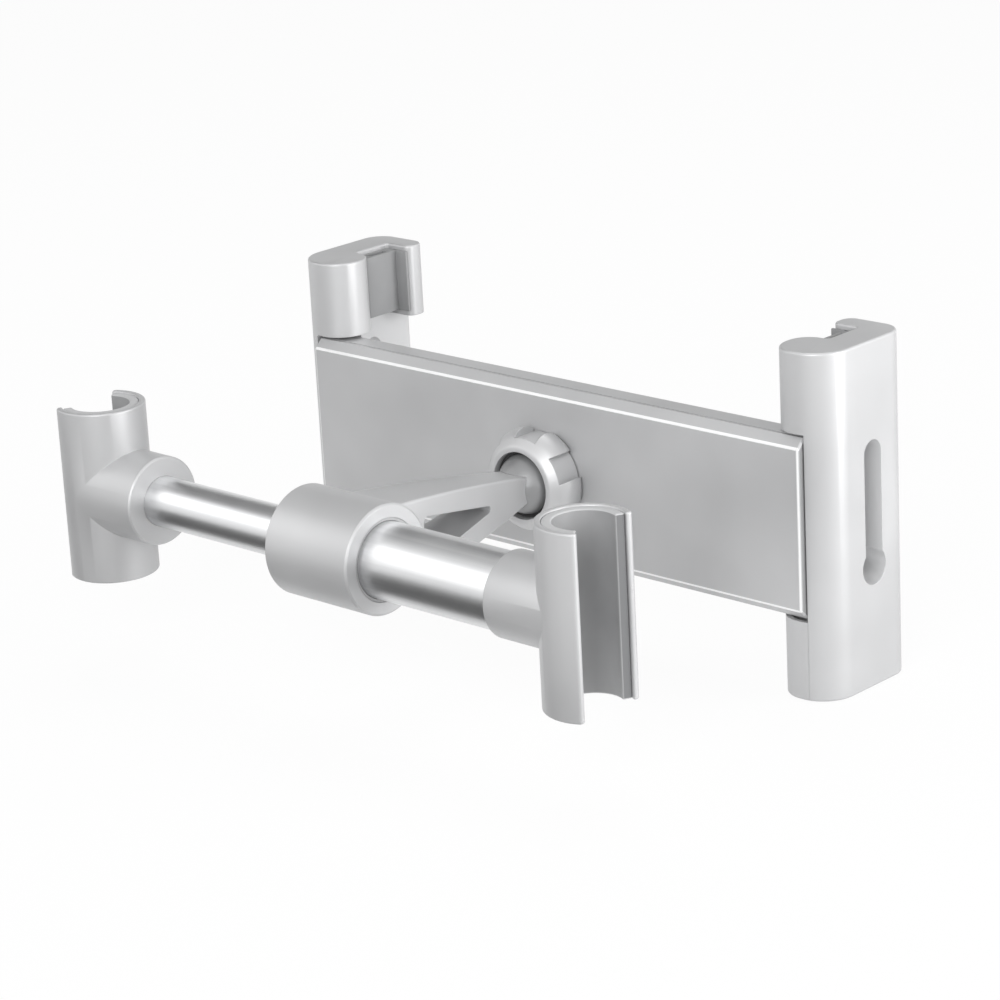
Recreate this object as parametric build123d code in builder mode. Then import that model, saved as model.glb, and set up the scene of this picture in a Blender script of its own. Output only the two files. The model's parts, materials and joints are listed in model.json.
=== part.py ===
from build123d import *
from math import atan, cos, pi, radians, sin, sqrt, tan
import os

# Headrest tablet mount. A telescopic crossbar hooks onto the two posts of a headrest. An arm on
# its collar carries a ball-jointed holder, whose two sprung jaws grip a tablet.
# Frame: the origin is the axis of the right post hook, at the height of the tubes. +X runs along
# the crossbar from the left post to the right one, +Y towards the tablet, +Z up.

os.makedirs("parts", exist_ok=True)

# Clearances
press_gap = 0.03
slide_gap = 0.08
face_gap = 0.15
part_gap = 0.3

# Post hooks
post_spacing = 165.0
post_bore_r = 7.4
liner_wall = 2.4
shell_wall = 1.65
hook_height = 45.2
liner_recess = 0.25
shell_mouth_half_angle = 58.0
liner_mouth_half_angle = 62.0
liner_tip_round = 0.6
hook_edge_round = 0.45
socket_floor = 0.9
left_socket_r = 11.46
left_socket_reach = 21.3
right_socket_r = 10.6
right_socket_reach = 23.1
socket_edge_bevel = 0.4

# Grub screws through the sockets and the tube walls
grub_r = 1.5
grub_key_width = 1.5
grub_key_depth = 0.9
grub_sink = 0.3
grub_short_of_bore = 0.1

# Telescopic tubes
outer_tube_r = 9.5
outer_tube_wall = 1.2
inner_tube_r = 6.4
inner_tube_wall = 1.0
tube_overlap = 28.0
guide_bush_length = 10.0
end_ring_length = 5.0

# Collar and arm
arm_to_right_post = 78.0
collar_r = 13.75
collar_length = 28.0
collar_end_wall = 2.0
collar_bore_r = 10.35
collar_edge_bevel = 0.5
collar_bush_recess = 0.2
collar_bush_slit = 1.5
arm_root_half_width = 9.5
arm_root_top_z = 10.9
arm_root_bottom_z = -13.3
arm_top_middle = (32.0, 7.5)
arm_bottom_middle = (44.0, -8.0)
arm_edge_round = 0.7
neck_behind_ball = 6.1
neck_top_z = 2.9
neck_bottom_z = -4.4
neck_half_width = 4.7
neck_point_half_width = 3.0
window_start_y = 19.2
window_top_z = 4.3
window_bottom_z = -7.9
window_point = (49.0, -1.1)
window_corner_round = 1.5
window_point_round = 1.0

# Ball joint
ball_r = 8.0
ball_y = 65.5
ball_z = -0.9
race_wall = 0.75
rear_race_angles = (14.0, 72.0)
front_race_angles = (95.0, 103.0)
race_slit = 1.6
socket_wall = 1.75
socket_front = 0.3
socket_dome_r = 6.0
socket_dome_wall = 0.85

# Collar nut: six wide flutes leave six barrel-shaped lands behind a smooth front ring
nut_behind_ball = 3.5
nut_mouth_r = 8.9
nut_mouth_depth = 1.35
nut_lip_r = 10.4
nut_lip_round = 0.45
nut_band_length = 1.7
nut_land_r = 14.0
nut_land_crest = 5.6
nut_land_back_r = 12.9
nut_seat_end = 0.6
flute_count = 6
flute_floor_r = 12.1
flute_width = 7.1
flute_first_angle = 26.0

# Holder casing
holder_behind_ball = 6.0
holder_half_length = 82.4
holder_half_height = 22.9
holder_bevel = 2.4
holder_end_bevel = 0.5
joint_groove_depth = 0.4
joint_groove_width = 0.45
holder_side_wall = 2.0
rear_cover_depth = 3.5
rear_cover_floor = 2.1
front_cover_depth = 5.8
front_cover_wall = 1.8
front_edge_round = 0.8
front_pad_end_margin = 9.4
front_pad_edge_margin = 4.9
front_pad_thickness = 1.0
front_pad_corner = 4.0
rail_inner_z = 8.6
rail_outer_z = 11.6

# Casing screws
casing_screw_r = 1.2
casing_screw_end_margin = 5.4
casing_screw_inner_u = 50.0
casing_screw_wall_margin = 3.5
casing_boss_r = 2.0
casing_head_r = 2.2
casing_head_depth = 1.0
casing_screw_length = 5.4
screw_slot_width = 0.6

# Rack sliders and pinion
slider_thickness = 2.4
slider_screw_margin = 3.2
slider_overlap = 15.4
jaw_travel = 55.0
rack_spare = 1.0
rack_module = 1.0
rack_addendum = 0.7
rack_dedendum = 1.0
pinion_teeth = 12
pressure_angle = 20.0
tooth_backlash = 0.2
rack_start_u = -5.0
pinion_pin_r = 1.5
pinion_pin_head_r = 2.4
pinion_pin_head = 0.3

# Springs
spring_wire_r = 0.35
spring_coil_r = 1.55
spring_pitch = 1.9
spring_peg_u = 20.0
spring_peg_r = 1.0
spring_ear_thickness = 0.6
spring_ear_width = 5.0

# Jaws
jaw_half_height = 44.0
jaw_side_wall = 6.8
jaw_wall_depth = 9.5
bar_reach = 7.5
hook_reach = 8.0
jaw_behind_cover = 1.5
jaw_depth = 32.5
bar_depth = 14.0
hook_depth = 6.5
hook_lower_margin = 1.6
jaw_rear_corner_share = 0.53
bar_rear_round_share = 0.42
bar_front_round_share = 0.42
jaw_front_corner = 6.0
hook_outer_corner = 3.2
hook_inner_corner = 2.0
jaw_inner_corner = 1.0
jaw_edge_round = 0.6
notch_gap_z = 0.8
bar_core_wall = 1.8
bar_core_corner = 1.0
cable_slot_from_bar = 4.2
cable_slot_width = 6.6
cable_slot_top_z = 19.2
cable_slot_round_z = -13.0
cable_slot_round_r = 4.55
slider_seat_wall = 3.8
slider_tab_inset = 3.6
slider_tab_top_margin = 2.3
slider_tab_bottom_margin = 5.5
heel_wall = 1.2
jaw_screw_inset = 7.6
jaw_screw_top_margin = 3.2
jaw_screw_bottom_margin = 3.3
jaw_screw_r = 1.2
jaw_screw_length = 5.0
jaw_screw_head_r = 2.1
jaw_screw_head = 0.9

# Jaw pads
pad_reach = 4.0
pad_web = 1.2
pad_back_web = 0.8
pad_leg = 1.6
pad_lip = 0.8
pad_lip_inset = 0.25
pad_lower_margin = 1.5
pad_upper_margin = 1.3

# Places worked out from the sizes above
shell_inner_r = post_bore_r + liner_wall + press_gap
shell_outer_r = shell_inner_r + shell_wall
shell_tip_outer_round = shell_wall * 0.66
shell_tip_inner_round = shell_wall * 0.3
left_post_x = -post_spacing
arm_x = -arm_to_right_post
collar_left_x = arm_x - collar_length / 2
outer_tube_left_x = collar_left_x + collar_end_wall + part_gap
outer_tube_right_x = -shell_outer_r - socket_floor - press_gap
outer_tube_bore_r = outer_tube_r - outer_tube_wall
inner_tube_left_x = left_post_x + shell_outer_r + socket_floor + press_gap
inner_tube_right_x = outer_tube_left_x + tube_overlap
race_inner_r = ball_r + slide_gap
race_outer_r = race_inner_r + race_wall
race_seat_r = race_outer_r + slide_gap
ball_socket_r = race_seat_r + socket_wall
nut_thread_r = ball_socket_r + slide_gap
neck_y = ball_y - neck_behind_ball
holder_rear_y = ball_y + holder_behind_ball
nut_front_y = ball_y - nut_behind_ball
nut_back_y = holder_rear_y - part_gap
nut_band_end_y = nut_front_y + nut_band_length
cover_joint_y = holder_rear_y + rear_cover_depth
rear_floor_y = holder_rear_y + rear_cover_floor
holder_front_y = cover_joint_y + front_cover_depth
front_floor_y = holder_front_y - front_cover_wall
dome_y = ball_y + race_seat_r + socket_dome_wall
slider_rear_y = dome_y + pinion_pin_head + face_gap
slider_front_y = slider_rear_y + slider_thickness
cavity_half_length = holder_half_length - holder_side_wall
cavity_half_height = holder_half_height - holder_side_wall
rack_pitch = pi * rack_module
pinion_pitch_r = pinion_teeth * rack_module / 2
rack_root_z = pinion_pitch_r + rack_dedendum
rack_tip_z = pinion_pitch_r - rack_addendum
notch_u = holder_half_length + part_gap
notch_half_height = holder_half_height + notch_gap_z
spring_y = (slider_rear_y + slider_front_y) / 2
front_pad_half_length = holder_half_length - front_pad_end_margin
front_pad_half_height = holder_half_height - front_pad_edge_margin
casing_screw_u = holder_half_length - casing_screw_end_margin
casing_screw_z = cavity_half_height - casing_screw_wall_margin
slider_half_width = casing_screw_z - slider_screw_margin
slider_body_start_u = holder_half_length - slider_overlap
slider_arm_end_u = jaw_travel + pinion_pitch_r + rack_spare
jaw_outer_u = notch_u + jaw_side_wall
jaw_wall_u = jaw_outer_u - jaw_wall_depth
bar_inner_u = jaw_wall_u - bar_reach
hook_inner_u = jaw_wall_u - hook_reach
jaw_rear_y = holder_rear_y + jaw_behind_cover
jaw_front_y = jaw_rear_y + jaw_depth
bar_front_y = jaw_rear_y + bar_depth
hook_rear_y = jaw_front_y - hook_depth
hook_lower_z = holder_half_height + hook_lower_margin
jaw_rear_corner = (jaw_wall_depth + bar_reach) * jaw_rear_corner_share
bar_rear_round = (jaw_wall_depth + bar_reach) * bar_rear_round_share
bar_front_round = bar_depth * bar_front_round_share
bar_core_round = (bar_depth / 2 - bar_core_wall) * 0.9
cable_slot_y = bar_front_y + cable_slot_from_bar
slider_seat_end_u = jaw_outer_u - slider_seat_wall
slider_tab_inner_u = bar_inner_u + slider_tab_inset
slider_tab_top_z = -notch_half_height - slider_tab_top_margin
slider_tab_bottom_z = -jaw_half_height + slider_tab_bottom_margin
jaw_screw_u = bar_inner_u + jaw_screw_inset
jaw_screw_z = (slider_tab_top_z - jaw_screw_top_margin, slider_tab_bottom_z + jaw_screw_bottom_margin)
pad_face_u = jaw_wall_u - pad_reach
pad_lip_u = hook_inner_u + pad_lip_inset
pad_lower_z = hook_lower_z + pad_lower_margin
pad_upper_z = jaw_half_height - pad_upper_margin
hook_axis = Axis((arm_x, 0, ball_z), (0, 1, 0))
turning_plane = Plane(origin=(arm_x, 0, ball_z))
collar_plane = Plane(origin=(arm_x, 0, 0))


def save(piece, name):
    piece.part.label = name
    export_step(piece.part, f"parts/{name}.step")


def tube_plane(x):
    return Plane.YZ.offset(x)


def holder_plane(y):
    # Drawn as seen from the front posts: u to the right, z up, and extruded towards the crossbar.
    return Plane(origin=(arm_x, y, 0), x_dir=(1, 0, 0), z_dir=(0, -1, 0))


def plan_plane(z):
    return Plane(origin=(arm_x, 0, z))


def box_between(low, high, mode=Mode.ADD):
    centre = tuple((a + b) / 2 for a, b in zip(low, high))
    size = tuple(b - a for a, b in zip(low, high))
    with Locations(centre):
        Box(*size, mode=mode)


def side_box(side, u_range, y_range, z_range, mode=Mode.ADD):
    ends = sorted(arm_x + side * u for u in u_range)
    box_between((ends[0], y_range[0], z_range[0]), (ends[1], y_range[1], z_range[1]), mode)


# Post hooks: an open shell with a socket for its tube, and a soft liner round the post

def hook_plan(opening, inner_r, outer_r, mouth_half_angle):
    reach = 2 * outer_r
    mouth = radians(mouth_half_angle)
    Circle(outer_r)
    Circle(inner_r, mode=Mode.SUBTRACT)
    corner = (opening * reach * cos(mouth), reach * sin(mouth))
    wedge = [(0, 0), corner, (opening * 2 * reach, 0), (corner[0], -corner[1])]
    Polygon(*wedge, align=None, mode=Mode.SUBTRACT)


def hook_shell(name, hook_x, opening, socket_r, socket_reach, tube_r):
    tube_seat = socket_reach - shell_outer_r - socket_floor
    face_x = hook_x - opening * socket_reach
    grub_x = face_x + opening * tube_seat / 2
    with BuildPart() as shell:
        with BuildSketch(Plane(origin=(hook_x, 0, -hook_height / 2))) as outline:
            hook_plan(opening, shell_inner_r, shell_outer_r, shell_mouth_half_angle)
            tips = outline.vertices().sort_by(lambda corner: corner.X**2 + corner.Y**2)
            fillet(tips[-2:], shell_tip_outer_round)
            tips = outline.vertices().sort_by(lambda corner: corner.X**2 + corner.Y**2)
            fillet(tips[:2], shell_tip_inner_round)
        extrude(amount=hook_height)
        with BuildSketch(tube_plane(face_x)):
            Circle(socket_r)
        extrude(amount=opening * socket_reach)
        socket_rim = shell.edges().filter_by(GeomType.CIRCLE).filter_by_position(Axis.X, face_x, face_x)
        chamfer(socket_rim, socket_edge_bevel)
        with BuildSketch(Plane(origin=(hook_x, 0, -hook_height / 2))):
            Circle(shell_inner_r)
        extrude(amount=hook_height, mode=Mode.SUBTRACT)
        fillet(shell.edges().group_by(Axis.Z)[-1], hook_edge_round)
        fillet(shell.edges().group_by(Axis.Z)[0], hook_edge_round)
        with BuildSketch(tube_plane(face_x)):
            Circle(tube_r + press_gap)
        extrude(amount=opening * tube_seat, mode=Mode.SUBTRACT)
        with BuildSketch(Plane(origin=(grub_x, 0, -socket_r))):
            Circle(grub_r + press_gap)
        extrude(amount=socket_r, mode=Mode.SUBTRACT)
    save(shell, name)


def hook_liner(name, hook_x, opening):
    liner_outer_r = post_bore_r + liner_wall
    liner_height = hook_height - 2 * liner_recess
    with BuildPart() as liner:
        with BuildSketch(Plane(origin=(hook_x, 0, -liner_height / 2))) as outline:
            hook_plan(opening, post_bore_r, liner_outer_r, liner_mouth_half_angle)
            fillet(outline.vertices(), liner_tip_round)
        extrude(amount=liner_height)
    save(liner, name)


def socket_screw(name, hook_x, opening, socket_r, socket_reach, tube_r, tube_wall):
    grub_reach = tube_wall - grub_short_of_bore
    tube_seat = socket_reach - shell_outer_r - socket_floor
    grub_x = hook_x - opening * (socket_reach - tube_seat / 2)
    with BuildPart() as grub:
        with BuildSketch(Plane(origin=(grub_x, 0, -socket_r + grub_sink))):
            Circle(grub_r)
        extrude(amount=socket_r - grub_sink - tube_r + grub_reach)
        with BuildSketch(Plane(origin=(grub_x, 0, -socket_r + grub_sink))):
            RegularPolygon(grub_key_width / 2, 6, major_radius=False)
        extrude(amount=grub_key_depth, mode=Mode.SUBTRACT)
    save(grub, name)


def tube(name, left_x, right_x, outer_r, inner_r, grub_x=None):
    with BuildPart() as pipe:
        with BuildSketch(tube_plane(left_x)):
            Circle(outer_r)
            Circle(inner_r, mode=Mode.SUBTRACT)
        extrude(amount=right_x - left_x)
        if grub_x is not None:
            with BuildSketch(Plane(origin=(grub_x, 0, -outer_r))):
                Circle(grub_r + press_gap)
            extrude(amount=outer_r, mode=Mode.SUBTRACT)
    save(pipe, name)


left_socket = (left_socket_r, left_socket_reach, inner_tube_r)
right_socket = (right_socket_r, right_socket_reach, outer_tube_r)
hook_shell("left_hook_shell", left_post_x, -1, *left_socket)
hook_shell("right_hook_shell", 0, 1, *right_socket)
hook_liner("left_hook_liner", left_post_x, -1)
hook_liner("right_hook_liner", 0, 1)
socket_screw("left_socket_screw", left_post_x, -1, *left_socket, inner_tube_wall)
socket_screw("right_socket_screw", 0, 1, *right_socket, outer_tube_wall)

# Telescopic tubes: the inner one runs in a bush at the mouth of the outer one, and its end ring
# meets that bush when it is pulled right out

left_grub_x = (left_post_x + left_socket_reach + inner_tube_left_x - press_gap) / 2
right_grub_x = (-right_socket_reach + outer_tube_right_x + press_gap) / 2
guide_bush_end_x = outer_tube_left_x + guide_bush_length
end_ring_start_x = inner_tube_right_x - end_ring_length
tube("outer_tube", outer_tube_left_x, outer_tube_right_x, outer_tube_r, outer_tube_bore_r,
     right_grub_x)
tube("inner_tube", inner_tube_left_x, inner_tube_right_x, inner_tube_r,
     inner_tube_r - inner_tube_wall, left_grub_x)
tube("tube_guide_bush", outer_tube_left_x, guide_bush_end_x,
     outer_tube_bore_r - press_gap, inner_tube_r + slide_gap)
tube("inner_tube_end_ring", end_ring_start_x, inner_tube_right_x,
     outer_tube_bore_r - slide_gap, inner_tube_r + press_gap)

# Support arm: the collar, the tapered arm with its window and the ball are one moulding

with BuildPart() as support_arm:
    with BuildSketch(tube_plane(arm_x)):
        with BuildLine():
            Polyline((0, arm_root_bottom_z), (0, arm_root_top_z))
            ThreePointArc((0, arm_root_top_z), arm_top_middle, (neck_y, neck_top_z))
            Polyline((neck_y, neck_top_z), (ball_y, neck_top_z), (ball_y, neck_bottom_z),
                     (neck_y, neck_bottom_z))
            ThreePointArc((neck_y, neck_bottom_z), arm_bottom_middle, (0, arm_root_bottom_z))
        make_face()
    extrude(amount=arm_root_half_width, both=True)
    with BuildSketch(plan_plane(-collar_r)):
        Polygon((-arm_root_half_width, 0), (-neck_half_width, neck_y),
                (-neck_point_half_width, ball_y), (neck_point_half_width, ball_y),
                (neck_half_width, neck_y), (arm_root_half_width, 0), align=None)
    extrude(amount=2 * collar_r, mode=Mode.INTERSECT)
    long_edges = support_arm.edges().filter_by(lambda edge: abs(edge.tangent_at(0.5).Y) > 0.5)
    fillet(long_edges, arm_edge_round)
    with BuildSketch(tube_plane(arm_x)) as window:
        Polygon((window_start_y, window_top_z), window_point, (window_start_y, window_bottom_z),
                align=None)
        fillet(window.vertices().group_by(Axis.X)[-1], window_point_round)
        fillet(window.vertices().group_by(Axis.X)[0], window_corner_round)
    extrude(amount=arm_root_half_width, both=True, mode=Mode.SUBTRACT)
    with Locations((arm_x, ball_y, ball_z)):
        Sphere(ball_r)
    with BuildSketch(collar_plane) as collar_profile:
        with Locations((0, collar_r / 2)):
            Rectangle(collar_length, collar_r)
        chamfer(collar_profile.vertices().group_by(Axis.Y)[-1], collar_edge_bevel)
    revolve(axis=Axis.X)
    with BuildSketch(tube_plane(collar_left_x)):
        Circle(inner_tube_r + 2 * part_gap)
    extrude(amount=collar_length, mode=Mode.SUBTRACT)
    with BuildSketch(tube_plane(collar_left_x + collar_end_wall)):
        Circle(collar_bore_r)
    extrude(amount=collar_length, mode=Mode.SUBTRACT)
save(support_arm, "support_arm")

with BuildPart() as collar_bush:
    bush_left_x = collar_left_x + collar_end_wall + press_gap
    bush_length = collar_length - collar_end_wall - press_gap - collar_bush_recess
    with BuildSketch(tube_plane(bush_left_x)):
        Circle(collar_bore_r - press_gap)
        Circle(outer_tube_r + slide_gap, mode=Mode.SUBTRACT)
        with Locations((0, -collar_bore_r)):
            Rectangle(collar_bush_slit, collar_bore_r, mode=Mode.SUBTRACT)
    extrude(amount=bush_length)
save(collar_bush, "collar_friction_bush")

# Ball joint: two thin races keep the ball between the holder's socket and the nut


def ball_race(name, angles, slit):
    start = 90 - angles[0]
    sweep = angles[0] - angles[1]
    with BuildPart() as race:
        with BuildSketch(turning_plane):
            with BuildLine():
                inner = CenterArc((0, ball_y), race_inner_r, start, sweep)
                outer = CenterArc((0, ball_y), race_outer_r, start, sweep)
                Line(inner @ 0, outer @ 0)
                Line(inner @ 1, outer @ 1)
            make_face()
        revolve(axis=hook_axis)
        if slit:
            slit_range = (ball_z - slit / 2, ball_z + slit / 2)
            side_box(1, (0, race_outer_r * 2), (0, ball_y * 2), slit_range, Mode.SUBTRACT)
    save(race, name)


ball_race("rear_ball_race", rear_race_angles, 0)
ball_race("front_ball_race", front_race_angles, race_slit)

with BuildPart() as ball_nut:
    seat_start_s = nut_front_y + nut_mouth_depth - ball_y
    seat_front = (sqrt(race_seat_r**2 - seat_start_s**2), ball_y + seat_start_s)
    seat_back = (sqrt(race_seat_r**2 - nut_seat_end**2), ball_y - nut_seat_end)
    seat_middle_s = (seat_start_s - nut_seat_end) / 2
    seat_middle = (sqrt(race_seat_r**2 - seat_middle_s**2), ball_y + seat_middle_s)
    with BuildSketch(turning_plane):
        with BuildLine():
            ThreePointArc(seat_front, seat_middle, seat_back)
            Polyline(seat_back, (nut_thread_r, ball_y - nut_seat_end), (nut_thread_r, nut_back_y),
                     (nut_land_back_r, nut_back_y))
            ThreePointArc((nut_land_back_r, nut_back_y), (nut_land_r, nut_front_y + nut_land_crest),
                          (flute_floor_r, nut_band_end_y))
            Polyline((flute_floor_r, nut_band_end_y), (nut_lip_r, nut_front_y + nut_lip_round / 2),
                     (nut_lip_r - nut_lip_round, nut_front_y), (nut_mouth_r, nut_front_y), seat_front)
        make_face()
    revolve(axis=hook_axis)
    with BuildSketch(holder_plane(nut_back_y)):
        with Locations((0, ball_z)):
            with PolarLocations(flute_floor_r + 1, flute_count, start_angle=flute_first_angle):
                Rectangle(nut_land_r - flute_floor_r + 4, flute_width)
            Circle(flute_floor_r, mode=Mode.SUBTRACT)
    extrude(amount=nut_back_y - nut_front_y, mode=Mode.SUBTRACT)
save(ball_nut, "ball_nut")

# Holder casing: two covers joined by screws, with rails inside for the rack sliders

screw_places = [(u, z) for u in (-casing_screw_u, casing_screw_u) for z in (-casing_screw_z, casing_screw_z)]
screw_places += [(-casing_screw_inner_u, casing_screw_z), (casing_screw_inner_u, -casing_screw_z)]
rail_middle_z = (rail_inner_z + rail_outer_z) / 2
rail_places = [(0, -rail_middle_z), (0, rail_middle_z)]
rail_size = (2 * cavity_half_length, rail_outer_z - rail_inner_z)
slider_window = (2 * (slider_half_width + part_gap), slider_rear_y - face_gap, slider_front_y + face_gap)

with BuildPart() as rear_cover:
    with BuildSketch(holder_plane(cover_joint_y)):
        Rectangle(2 * holder_half_length, 2 * holder_half_height)
    extrude(amount=rear_cover_depth)
    chamfer(rear_cover.faces().sort_by(Axis.Y)[0].edges().filter_by(Axis.X), holder_bevel)
    for end_face in (rear_cover.faces().sort_by(Axis.X)[0], rear_cover.faces().sort_by(Axis.X)[-1]):
        rear_corner = end_face.edges().filter_by(lambda edge: edge.center().Y < holder_rear_y + holder_bevel)
        chamfer(rear_corner, holder_end_bevel)
    with BuildSketch(holder_plane(cover_joint_y)):
        Rectangle(2 * holder_half_length, 2 * holder_half_height)
        Rectangle(2 * (holder_half_length - joint_groove_depth),
                  2 * (holder_half_height - joint_groove_depth), mode=Mode.SUBTRACT)
    extrude(amount=joint_groove_width, mode=Mode.SUBTRACT)
    with BuildSketch(holder_plane(cover_joint_y)):
        Rectangle(2 * cavity_half_length, 2 * cavity_half_height)
    extrude(amount=cover_joint_y - rear_floor_y, mode=Mode.SUBTRACT)
    with BuildSketch(holder_plane(slider_rear_y - face_gap)):
        with Locations(*rail_places):
            Rectangle(*rail_size)
    extrude(amount=slider_rear_y - face_gap - rear_floor_y)
    with BuildSketch(holder_plane(front_floor_y - press_gap)):
        with Locations(*screw_places):
            Circle(casing_boss_r)
    extrude(amount=front_floor_y - press_gap - rear_floor_y)
    with BuildSketch(holder_plane(dome_y)):
        with Locations((0, ball_z)):
            Circle(socket_dome_r)
    extrude(amount=dome_y - rear_floor_y)
    with BuildSketch(holder_plane(holder_rear_y)):
        with Locations((0, ball_z)):
            Circle(ball_socket_r)
    extrude(amount=holder_rear_y - ball_y + socket_front)
    with Locations((arm_x, ball_y, ball_z)):
        Sphere(race_seat_r, mode=Mode.SUBTRACT)
    with BuildSketch(holder_plane(ball_y)):
        with Locations((0, ball_z)):
            Circle(race_seat_r)
    extrude(amount=2 * socket_front, mode=Mode.SUBTRACT)
    with BuildSketch(holder_plane(front_floor_y)):
        with Locations(*screw_places):
            Circle(casing_screw_r + press_gap)
    extrude(amount=front_floor_y - rear_floor_y, mode=Mode.SUBTRACT)
save(rear_cover, "rear_cover")

with BuildPart() as front_cover:
    with BuildSketch(holder_plane(holder_front_y)):
        Rectangle(2 * holder_half_length, 2 * holder_half_height)
    extrude(amount=front_cover_depth)
    fillet(front_cover.faces().sort_by(Axis.Y)[-1].edges(), front_edge_round)
    with BuildSketch(holder_plane(front_floor_y)):
        Rectangle(2 * cavity_half_length, 2 * cavity_half_height)
    extrude(amount=front_floor_y - cover_joint_y, mode=Mode.SUBTRACT)
    with BuildSketch(holder_plane(front_floor_y)):
        with Locations(*rail_places):
            Rectangle(*rail_size)
        Circle(pinion_pitch_r - rack_dedendum)
    extrude(amount=front_floor_y - slider_front_y - face_gap)
    window_z, window_rear_y, window_front_y = slider_window
    box_between((arm_x - holder_half_length, window_rear_y, -window_z / 2),
                (arm_x - cavity_half_length, window_front_y, window_z / 2), Mode.SUBTRACT)
    box_between((arm_x + cavity_half_length, window_rear_y, -window_z / 2),
                (arm_x + holder_half_length, window_front_y, window_z / 2), Mode.SUBTRACT)
    with BuildSketch(holder_plane(holder_front_y)):
        with Locations(*screw_places):
            Circle(casing_screw_r + press_gap)
    extrude(amount=front_cover_wall, mode=Mode.SUBTRACT)
    with BuildSketch(holder_plane(holder_front_y)):
        with Locations(*screw_places):
            Circle(casing_head_r + press_gap)
    extrude(amount=casing_head_depth, mode=Mode.SUBTRACT)
    with BuildSketch(holder_plane(holder_front_y - front_cover_wall / 3)):
        Circle(pinion_pin_r + press_gap)
    extrude(amount=front_cover_depth, mode=Mode.SUBTRACT)
save(front_cover, "front_cover")

with BuildPart() as front_pad:
    with BuildSketch(holder_plane(holder_front_y + front_pad_thickness)):
        RectangleRounded(2 * front_pad_half_length, 2 * front_pad_half_height, front_pad_corner)
    extrude(amount=front_pad_thickness)
save(front_pad, "front_pad")

with BuildPart() as casing_screws:
    with BuildSketch(holder_plane(holder_front_y)):
        with Locations(*screw_places):
            Circle(casing_head_r)
    extrude(amount=casing_head_depth)
    with BuildSketch(holder_plane(holder_front_y)):
        with Locations(*screw_places):
            Circle(casing_screw_r)
    extrude(amount=casing_screw_length)
    with BuildSketch(holder_plane(holder_front_y)):
        with Locations(*screw_places):
            Rectangle(2 * casing_screw_r, screw_slot_width)
            Rectangle(screw_slot_width, 2 * casing_screw_r)
    extrude(amount=casing_head_depth / 2, mode=Mode.SUBTRACT)
save(casing_screws, "casing_screws")

# Rack and pinion: both sliders mesh with one pinion, so the jaws open by the same amount


def involute(angle):
    return tan(angle) - angle


def tooth_half_angle(radius, base_r):
    at_pitch = pi / (2 * pinion_teeth) - tooth_backlash / (4 * pinion_pitch_r)
    pitch_involute = involute(radians(pressure_angle))
    if radius <= base_r:
        return at_pitch + pitch_involute
    return at_pitch + pitch_involute - involute(atan(sqrt((radius / base_r)**2 - 1)))


def pinion_tooth(middle):
    base_r = pinion_pitch_r * cos(radians(pressure_angle))
    root_r = pinion_pitch_r - rack_dedendum
    tip_r = pinion_pitch_r + rack_addendum
    radii = [root_r - rack_dedendum / 2, base_r, (base_r + pinion_pitch_r) / 2, pinion_pitch_r,
             (pinion_pitch_r + tip_r) / 2, tip_r]
    flank = [(r, tooth_half_angle(r, base_r)) for r in radii]
    outline = [(r * cos(middle - a), r * sin(middle - a)) for r, a in flank]
    outline += [(r * cos(middle + a), r * sin(middle + a)) for r, a in reversed(flank)]
    Polygon(*outline, align=None)


with BuildPart() as pinion:
    with BuildSketch(holder_plane(slider_front_y)):
        Circle(pinion_pitch_r - rack_dedendum)
        for tooth in range(pinion_teeth):
            pinion_tooth(2 * pi * tooth / pinion_teeth)
        Circle(pinion_pin_r + slide_gap, mode=Mode.SUBTRACT)
    extrude(amount=slider_thickness - face_gap / 2)
save(pinion, "pinion")

with BuildPart() as pinion_pin:
    with BuildSketch(holder_plane(holder_front_y - front_cover_wall / 3 - press_gap)):
        Circle(pinion_pin_r)
    extrude(amount=holder_front_y - front_cover_wall / 3 - press_gap - slider_rear_y)
    with BuildSketch(holder_plane(slider_rear_y)):
        Circle(pinion_pin_head_r)
    extrude(amount=pinion_pin_head)
save(pinion_pin, "pinion_pin")


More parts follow.
